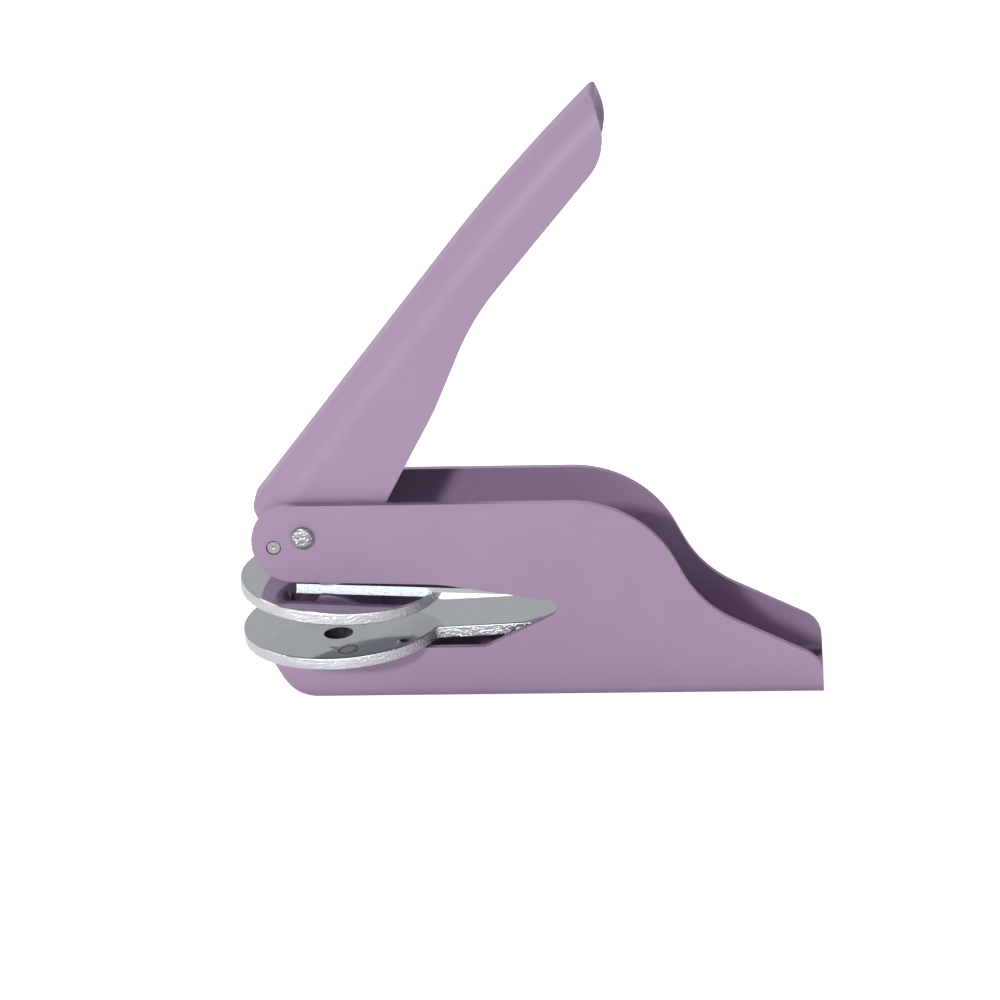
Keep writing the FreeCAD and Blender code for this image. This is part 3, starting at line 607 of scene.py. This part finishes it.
@dataclass
class Studio:
    """Camera, floor and lamps.

    The glows are the white table's: painted bounce light for the object, a painted reflection
    for mirrors and an even white for the camera. A painted contact shadow, where the object
    shades the table, dims the bounce glow over shade_mm beyond its base, down to shade_share of it.
    The edges and the foot are the parts of a mirrored ray's direction over which the painted
    reflections of backdrop and card fade in.
    """

    target_mm: tuple[float, float, float] = (-12.798, 0.0, 41.01)
    distance_mm: float = 1000.0
    azimuth: float = 3.421
    elevation: float = 21.8
    roll: float = -2.016
    lens_mm: float = 170.383
    sensor_mm: float = 36.0
    floor_mm: float = 9000.0
    floor_drop_mm: float = 0.05
    floor_colour: str = "#F2F2F2"
    base_mm: tuple[float, float, float] = (55.0, 11.0, 0.0)
    # The table's glow is painted bounce light, dimmed near the base by a painted contact shadow, and
    # shows in mirrors as a painted reflection
    shade_mm: float = 9.0
    shade_share: float = 0.1
    painted_bounce_glow: float = 0.7
    mirrored_glow: float = 0.235
    white_glow: float = 0.8
    world_colour: str = "#CACCCF"
    room_share: float = 0.02
    # Strength of the white card's painted reflection
    card_reflection_share: float = 4.5
    backdrop_edge: tuple[float, float] = (-0.15, 0.35)
    card_edge: tuple[float, float] = (-0.3, -0.6)
    card_foot: tuple[float, float] = (0.14, 0.2)

    def camera(self) -> None:
        """Places the camera where the photograph was taken from."""
        turn, rise, roll = map(math.radians, (self.azimuth, self.elevation, self.roll))
        ahead = Vector(
            (-math.sin(turn) * math.cos(rise), math.cos(turn) * math.cos(rise), -math.sin(rise))
        )
        level = Vector((math.cos(turn), math.sin(turn), 0.0))
        upright = level.cross(ahead)
        right = level * math.cos(roll) + upright * math.sin(roll)
        above = upright * math.cos(roll) - level * math.sin(roll)
        data = bpy.data.cameras.new("camera")
        data.lens = self.lens_mm
        data.sensor_width = self.sensor_mm
        data.clip_end = 2 * self.floor_mm * MM
        camera = bpy.data.objects.new("camera", data)
        bpy.context.scene.collection.objects.link(camera)
        place = Vector(self.target_mm) * MM - ahead * self.distance_mm * MM
        turned = Matrix((right, above, -ahead)).transposed().to_4x4()
        camera.matrix_world = Matrix.Translation(place) @ turned
        bpy.context.scene.camera = camera

    def floor(self) -> None:
        """Makes the white floor, which keeps the object's soft shadow."""
        shape = bmesh.new()
        bmesh.ops.create_grid(shape, x_segments=1, y_segments=1, size=self.floor_mm * MM / 2)
        mesh = bpy.data.meshes.new("floor")
        shape.to_mesh(mesh)
        shape.free()
        floor = bpy.data.objects.new("floor", mesh)
        bpy.context.scene.collection.objects.link(floor)
        floor.location.z = -self.floor_drop_mm * MM
        material, tree, output = blank_material("white_floor")
        paper = add_node(tree, "ShaderNodeBsdfDiffuse", {"Color": linear(self.floor_colour)})
        # The table glows as painted bounce light, dimmed near the base by a painted contact shadow
        place = add_node(tree, "ShaderNodeTexCoord").outputs["Object"]
        base = tuple(half * MM for half in self.base_mm)
        steps = ({"operation": "ABSOLUTE"}, {"operation": "SUBTRACT", 1: base}, {"operation": "MAXIMUM"})
        for step in steps:
            place = add_node(tree, "ShaderNodeVectorMath", step, {0: place}).outputs[0]
        away = add_node(tree, "ShaderNodeVectorMath", {"operation": "LENGTH"}, {0: place})
        table = add_node(
            tree,
            "ShaderNodeMapRange",
            {
                "From Min": 0.0,
                "From Max": self.shade_mm * MM,
                "To Min": self.shade_share * self.painted_bounce_glow,
                "To Max": self.painted_bounce_glow,
            },
            {"Value": away.outputs["Value"]},
        )
        path = add_node(tree, "ShaderNodeLightPath")
        metal = add_node(
            tree,
            "ShaderNodeMix",
            {"data_type": "FLOAT", 3: self.mirrored_glow},
            {0: path.outputs["Is Glossy Ray"], 2: table.outputs["Result"]},
        )
        strength = add_node(
            tree,
            "ShaderNodeMix",
            {"data_type": "FLOAT", 3: self.white_glow},
            {0: path.outputs["Is Camera Ray"], 2: metal.outputs[0]},
        )
        glow = add_node(tree, "ShaderNodeEmission", None, {"Strength": strength.outputs[0]})
        lit = add_node(tree, "ShaderNodeAddShader", None, {0: paper.outputs[0], 1: glow.outputs[0]})
        tree.links.new(lit.outputs[0], output.inputs["Surface"])
        dress(floor, material)

    def softbox(
        self,
        name: str,
        place_mm: tuple[float, float, float],
        size_mm: float,
        share: float,
        colour: str = "#FFFFFF",
    ) -> None:
        """Hangs a square softbox that looks at the object.

        Args:
            name: The lamp's name.
            place_mm: Where its middle is.
            size_mm: Its side.
            share: How much of full exposure it gives a surface that faces it.
            colour: The light's colour.
        """
        lamp = bpy.data.lights.new(name, "AREA")
        lamp.shape = "SQUARE"
        lamp.size = size_mm * MM
        place = Vector(place_mm) * MM
        aim = Vector(self.target_mm) * MM - place
        lamp.energy = share * math.pi**2 * aim.length_squared
        lamp.color = linear(colour)[:3]
        box = bpy.data.objects.new(name, lamp)
        bpy.context.scene.collection.objects.link(box)
        box.matrix_world = Matrix.Translation(place) @ aim.to_track_quat("-Z", "Y").to_matrix().to_4x4()

    def light(self) -> None:
        """Sets the dark room, the painted reflections that metal shows in it, and the softboxes."""
        world = bpy.data.worlds.new("studio")
        bpy.context.scene.world = world
        world.use_nodes = True
        tree = world.node_tree
        tree.nodes.clear()
        output = add_node(tree, "ShaderNodeOutputWorld")
        # Glossy rays find a grey backdrop behind the object and a white card above the camera, painted
        # reflections that light nothing else, and every other ray finds the room dark
        place = add_node(tree, "ShaderNodeTexCoord").outputs["Generated"]
        way = add_node(tree, "ShaderNodeSeparateXYZ", None, {0: place})
        edges = (("Y", self.backdrop_edge), ("Y", self.card_edge), ("Z", self.card_foot))
        behind, before, high = (
            add_node(
                tree,
                "ShaderNodeMapRange",
                {"From Min": start, "From Max": full},
                {"Value": way.outputs[axis]},
            )
            for axis, (start, full) in edges
        )
        card = add_node(
            tree,
            "ShaderNodeMath",
            {"operation": "MULTIPLY"},
            {0: before.outputs[0], 1: high.outputs[0]},
        )
        bright = add_node(
            tree,
            "ShaderNodeMath",
            {"operation": "MULTIPLY_ADD", 1: self.card_reflection_share},
            {0: card.outputs[0], 2: behind.outputs[0]},
        )
        path = add_node(tree, "ShaderNodeLightPath")
        strength = add_node(
            tree,
            "ShaderNodeMix",
            {"data_type": "FLOAT", 2: self.room_share},
            {0: path.outputs["Is Glossy Ray"], 3: bright.outputs[0]},
        )
        room = add_node(
            tree,
            "ShaderNodeBackground",
            {"Color": linear(self.world_colour)},
            {"Strength": strength.outputs[0]},
        )
        tree.links.new(room.outputs[0], output.inputs["Surface"])
        self.softbox("back_top", (-150.0, 700.0, 1300.0), 450.0, 0.62)
        self.softbox("key_left", (-560.0, -1080.0, 560.0), 140.0, 0.455)
        self.softbox("front_right", (1000.0, -900.0, 100.0), 400.0, 0.02)
        self.softbox("side_left", (-1300.0, -100.0, 450.0), 600.0, 0.2, "#FFF4F0")

    def build(self) -> None:
        """Sets camera, floor, lamps and the plain view transform."""
        self.camera()
        self.floor()
        self.light()
        bpy.context.scene.view_settings.view_transform = "Standard"


def main() -> None:
    """Builds the dressed embosser and its studio."""
    logging.basicConfig(level=logging.INFO, format="%(name)s: %(message)s")
    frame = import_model()
    Studio().build()

    coat = PowderCoat().material()
    chrome = CHROME.material()
    rim = SHEARED_RIM.material()
    clean = CLEAN_EDGE.material()
    bore = SHADED_BORE.material()
    peened = PEENED_STEEL.material()
    turned = TURNED_STEEL.material()
    wire = DRAWN_WIRE.material()
    plated = PLATED_STEEL.material()

    PaintedSheet(frame, "frame").build("frame_channel", "coated_frame", coat)
    PaintedSheet(frame, "lever").build("handle_lever", "coated_lever", coat)
    StampedPlate(frame, "upper_jaw").build("upper_disc", "plated_upper_disc", chrome, rim, bore)
    SpringLeaf(frame, "upper_jaw").build("leaf_spring", "plated_leaf", chrome, clean, bore)
    StampedPlate(frame, "frame").build("lower_jaw", "plated_lower_jaw", chrome, rim, bore, (HOLE_PLACE,))

    fixed = Assembly(frame, "frame")
    for name in ("pivot_rivet", "jaw_rivet_near", "jaw_rivet_far"):
        fixed.finish_node(name, peened)
    for name in ("stop_pin", "pivot_bush", "jaw_screw", "heel_screw_front", "heel_screw_rear"):
        fixed.finish_node(name, turned)
    for name in ("jaw_spacer", "clamp_plate", "heel_block", "lock_washer"):
        fixed.finish_node(name, plated)
    Assembly(frame, "upper_jaw").finish_node("disc_rivet", turned)
    Assembly(frame, "upper_jaw").finish_node("locating_rivet", turned)
    CoilSpring(frame, "lever").build("torsion_spring", "wound_spring", wire)


if __name__ == "__main__":
    main()
